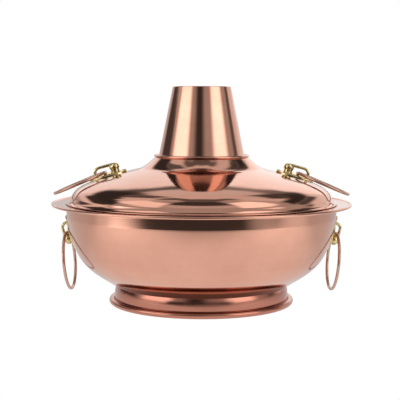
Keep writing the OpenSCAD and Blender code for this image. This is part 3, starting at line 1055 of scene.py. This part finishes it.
class HOTPOT_OT_rings(Operator):
    """Hangs the four wire rings in their eyes"""

    bl_idname = "hotpot.rings"
    bl_label = "Rings"

    def execute(self, context):
        shape = context.scene.hotpot_shape
        for group, outer, swing, yaw in (
            ("bowl", shape.bowl_ring, math.radians(5), math.radians(4)),
            ("lid", shape.lid_ring, math.radians(22.9 - 90), 0.0),
        ):
            for side, sign in SIDES.items():
                name = f"{group}_ring_{side}"
                radius = (outer - shape.ring_wire) / 2
                inputs = {"Radius": radius, "Wire": shape.ring_wire / 2, "Material": finish_of("ring_copper")}
                piece = grown(name + "_wire", bpy.data.meshes.new(name), ring_tree(), inputs)
                turn = Matrix.Rotation(swing, 4, "Y") @ Matrix.Rotation(yaw, 4, "Z")
                pivot = PIVOTS[name].copy()
                pivot.x = abs(pivot.x)
                piece.data.transform(Matrix.Translation(pivot) @ turn)
                fit(on_side(piece, sign), name, "ring_copper", name)
        return {"FINISHED"}


# What surrounds the pot, as its polish shows it. Azimuths run from the camera's side towards +X and
# elevations up from the horizon, both in degrees and each with how soft its edges are. A later patch
# covers an earlier one.
ROOM = (
    # name, azimuth from, to, softness, elevation from, to, softness, brightness
    ("left wall, low", -225, -140, 4, -30, 9, 3, 0.68),
    ("right wall, low", 116, 225, 4, -30, 9, 3, 1.00),
    ("back wall on the left", -225, -148, 4, 9, 38, 2, 1.15),
    ("back wall on the right", 148, 225, 4, 9, 38, 2, 1.30),
    ("left wall", -150, -92, 5, 15, 34, 3, 0.95),
    ("right wall", 116, 150, 5, 9, 36, 3, 0.95),
    ("ceiling on the left", -225, -98, 6, 38, 80, 2, 0.80),
    ("ceiling on the right", 98, 225, 6, 38, 80, 2, 0.80),
    ("left shade", -162, -92, 4, 29.5, 46, 3, 0.04),
    ("left shade, low", -142, -97, 4, 23, 33, 2, 0.05),
    ("left shade, high", -167, -118, 3, 35.5, 44, 3, 0.04),
    ("left shade, higher", -160, -116, 3, 42, 51, 3, 0.04),
    ("left shade, at its top", -155, -131, 3, 49, 66, 3, 0.13),
    ("left shade, by the zenith", -152, -106, 5, 69, 85, 3, 0.15),
    ("right shade", 97, 158, 4, 32.5, 47, 3, 0.04),
    ("right shade, low", 103, 141, 4, 24, 34, 3, 0.10),
    ("right shade, far", 148, 166, 3, 35.5, 44, 3, 0.07),
    ("right shade, high", 124, 157, 4, 45, 57, 3, 0.08),
    ("right shade, by the zenith", 108, 150, 5, 72, 85, 3, 0.16),
    ("cornice on the left", -225, -160, 3, 38, 43, 1.5, 0.12),
    ("cornice on the right", 155, 225, 3, 38, 43, 1.5, 0.25),
    ("light over the camera", -40, 40, 8, 47, 58, 2, 0.65),
    ("dark ceiling over the camera", -52, 45, 8, 57, 82, 1.5, 0.06),
    ("zenith", -400, 400, 1, 80, 120, 2, 0.15),
    ("left soft box", -99, -45, 5, 42, 64, 3, 1.32),
    ("right soft box", 42, 84, 5, 40, 68, 3, 1.60),
    ("left strip light", -84, -40, 7, 3, 27, 3, 2.30),
    ("right strip light", 35, 75, 8, 3, 27, 3, 2.30),
    ("dark front", -46, 42, 5, -95, 8, 4, 0.05),
    ("gap by the camera", -21, 6, 9, -10, 30, 4, 0.05),
    ("left flag", -134, -96, 5, 2, 15, 2, 0.08),
    ("right flag", 99, 114, 5, 2, 18, 2, 0.14),
)


class HOTPOT_OT_stage(Operator):
    """Lays the floor, builds the room's light and sets the camera"""

    bl_idname = "hotpot.stage"
    bl_label = "Stage"

    def execute(self, context):
        studio = context.scene.hotpot_studio
        self.floor(studio)
        self.room(context, studio)
        self.camera(context, studio)
        context.scene.view_settings.view_transform = "Standard"
        return {"FINISHED"}

    def floor(self, studio):
        half, z = 2.5, -0.2 * MM
        mesh = bpy.data.meshes.new("floor")
        corners = [(-half, -half, z), (half, -half, z), (half, half, z), (-half, half, z)]
        mesh.from_pydata(corners, [], [(0, 1, 2, 3)])
        floor = linked("floor", mesh)
        material, tree, place = new_material("pale_floor")
        # The floor is only an emission. To the camera it is white; to every other ray it shows painted light:
        # a glow that fades away from the pot, painted pools of light beside it, and painted shade towards its
        # front and behind the pot.
        away = add(tree, "ShaderNodeVectorMath", {0: place}, operation="LENGTH").outputs["Value"]
        glow = self.smooth_step(tree, away, 0.30, 1.2, 0.99, 0.80)
        for x in (-1, 1):
            glow = math_node(tree, "ADD", self.pool(tree, place, (x * 0.36, -0.33), 0.34, 0.36), glow)
        y = parts(tree, place)["Y"]
        # painted shade: the glow fades out towards the floor's front and dims behind the pot
        front = self.smooth_step(tree, y, 0.26 - studio.floor_glow_front, -0.06 - studio.floor_glow_front, 1.0, 0.06)
        back = self.smooth_step(tree, y, -0.10, 0.06, 1.0, 0.70)
        glow = math_node(tree, "MULTIPLY", glow, math_node(tree, "MULTIPLY", front, back))
        # two more painted pools of light, at the front left and the front right
        glow = math_node(tree, "ADD", self.pool(tree, place, (-0.56, -0.30), 0.26, 0.85), glow)
        glow = math_node(tree, "ADD", self.pool(tree, place, (0.50, -0.50), 0.20, 0.40), glow)
        shown = self.white_to_camera(tree, glow)
        white = add(tree, "ShaderNodeEmission", {"Color": (1, 1, 1, 1), "Strength": shown}).outputs[0]
        out = tree.nodes.new("ShaderNodeOutputMaterial")
        tree.links.new(white, out.inputs["Surface"])
        mesh.materials.append(material)

    def white_to_camera(self, tree, level):
        """White where the camera looks straight at it, and its own level to every other ray."""
        is_camera = tree.nodes.new("ShaderNodeLightPath").outputs["Is Camera Ray"]
        inputs = {"Factor": is_camera, "A": level, "B": 1.0}
        return add(tree, "ShaderNodeMix", inputs, data_type="FLOAT").outputs[0]

    def pool(self, tree, place, centre, radius, brightness):
        """A painted pool of light on the floor, such as a lamp beside the pot would cast."""
        inputs = {0: place, 1: (*centre, 0)}
        away = add(tree, "ShaderNodeVectorMath", inputs, operation="DISTANCE").outputs["Value"]
        return self.smooth_step(tree, away, radius, radius / 6, 0.0, brightness)

    def smooth_step(self, tree, value, low, high, to_low, to_high):
        return add(
            tree, "ShaderNodeMapRange",
            {"Value": value, "From Min": low, "From Max": high, "To Min": to_low, "To Max": to_high},
            interpolation_type="SMOOTHSTEP",
        ).outputs[0]

    def window(self, tree, value, low, high, soft):
        """1 where the value lies between low and high, with soft edges."""
        rise = self.smooth_step(tree, value, low - soft, low + soft, 0.0, 1.0)
        fall = self.smooth_step(tree, value, high + soft, high - soft, 0.0, 1.0)
        return math_node(tree, "MULTIPLY", rise, fall)

    def room(self, context, studio):
        world = bpy.data.worlds.new("studio")
        context.scene.world = world
        world.use_nodes = True
        tree = world.node_tree
        tree.nodes.clear()
        direction = tree.nodes.new("ShaderNodeTexCoord").outputs["Generated"]
        xyz = parts(tree, direction)
        to_front = math_node(tree, "MULTIPLY", xyz["Y"], -1.0)
        degrees = math.degrees(1)
        azimuth = math_node(tree, "MULTIPLY", math_node(tree, "ARCTAN2", xyz["X"], to_front), degrees)
        elevation = math_node(tree, "MULTIPLY", math_node(tree, "ARCSINE", xyz["Z"]), degrees)
        level = studio.room_level
        for _, az0, az1, az_soft, el0, el1, el_soft, brightness in ROOM:
            mask = math_node(
                tree, "MULTIPLY", self.window(tree, azimuth, az0, az1, az_soft),
                self.window(tree, elevation, el0, el1, el_soft),
            )
            mix = add(tree, "ShaderNodeMix", {"Factor": mask, "A": level, "B": brightness}, data_type="FLOAT")
            level = mix.outputs[0]
        shown = self.white_to_camera(tree, level)
        light = add(tree, "ShaderNodeBackground", {"Color": (1, 1, 1, 1), "Strength": shown})
        out = tree.nodes.new("ShaderNodeOutputWorld")
        tree.links.new(light.outputs[0], out.inputs["Surface"])

    def camera(self, context, studio):
        data = bpy.data.cameras.new("camera")
        data.lens = studio.lens
        data.sensor_width = 36
        data.clip_start = 0.01
        camera = linked("camera", data)
        look = Matrix.Rotation(math.pi / 2 - studio.camera_pitch, 4, "X")
        roll = Matrix.Rotation(studio.camera_roll, 4, "Z")
        camera.matrix_world = Matrix.Translation(studio.camera_place) @ look @ roll
        context.scene.camera = camera


STEPS = (
    HOTPOT_OT_bowl, HOTPOT_OT_foot, HOTPOT_OT_fire_tube, HOTPOT_OT_grate, HOTPOT_OT_chimney, HOTPOT_OT_lid,
    HOTPOT_OT_plates, HOTPOT_OT_eyes, HOTPOT_OT_rivets, HOTPOT_OT_rings, HOTPOT_OT_stage,
)
GROUPS = {"hotpot_shape": HotPotShape, "hotpot_finish": HotPotFinish, "hotpot_studio": HotPotStudio}


class HOTPOT_PT_panel(Panel):
    """Lists the steps that build the pot"""

    bl_idname = "HOTPOT_PT_panel"
    bl_label = "Chimney Hot Pot"
    bl_space_type = "VIEW_3D"
    bl_region_type = "UI"
    bl_category = "Hot Pot"

    def draw(self, context):
        layout = self.layout
        for step in STEPS:
            layout.operator(step.bl_idname)
        for name, group in GROUPS.items():
            box = layout.box()
            for key in group.__annotations__:
                box.prop(getattr(context.scene, name), key)


def register():
    for group in GROUPS.values():
        bpy.utils.register_class(group)
    for name, group in GROUPS.items():
        setattr(bpy.types.Scene, name, PointerProperty(type=group))
    for step in STEPS:
        bpy.utils.register_class(step)
    bpy.utils.register_class(HOTPOT_PT_panel)


def unregister():
    bpy.utils.unregister_class(HOTPOT_PT_panel)
    for step in reversed(STEPS):
        bpy.utils.unregister_class(step)
    for name, group in GROUPS.items():
        delattr(bpy.types.Scene, name)
        bpy.utils.unregister_class(group)


def main():
    register()
    for step in STEPS:
        group, action = step.bl_idname.split(".")
        getattr(getattr(bpy.ops, group), action)()


if __name__ == "__main__":
    main()
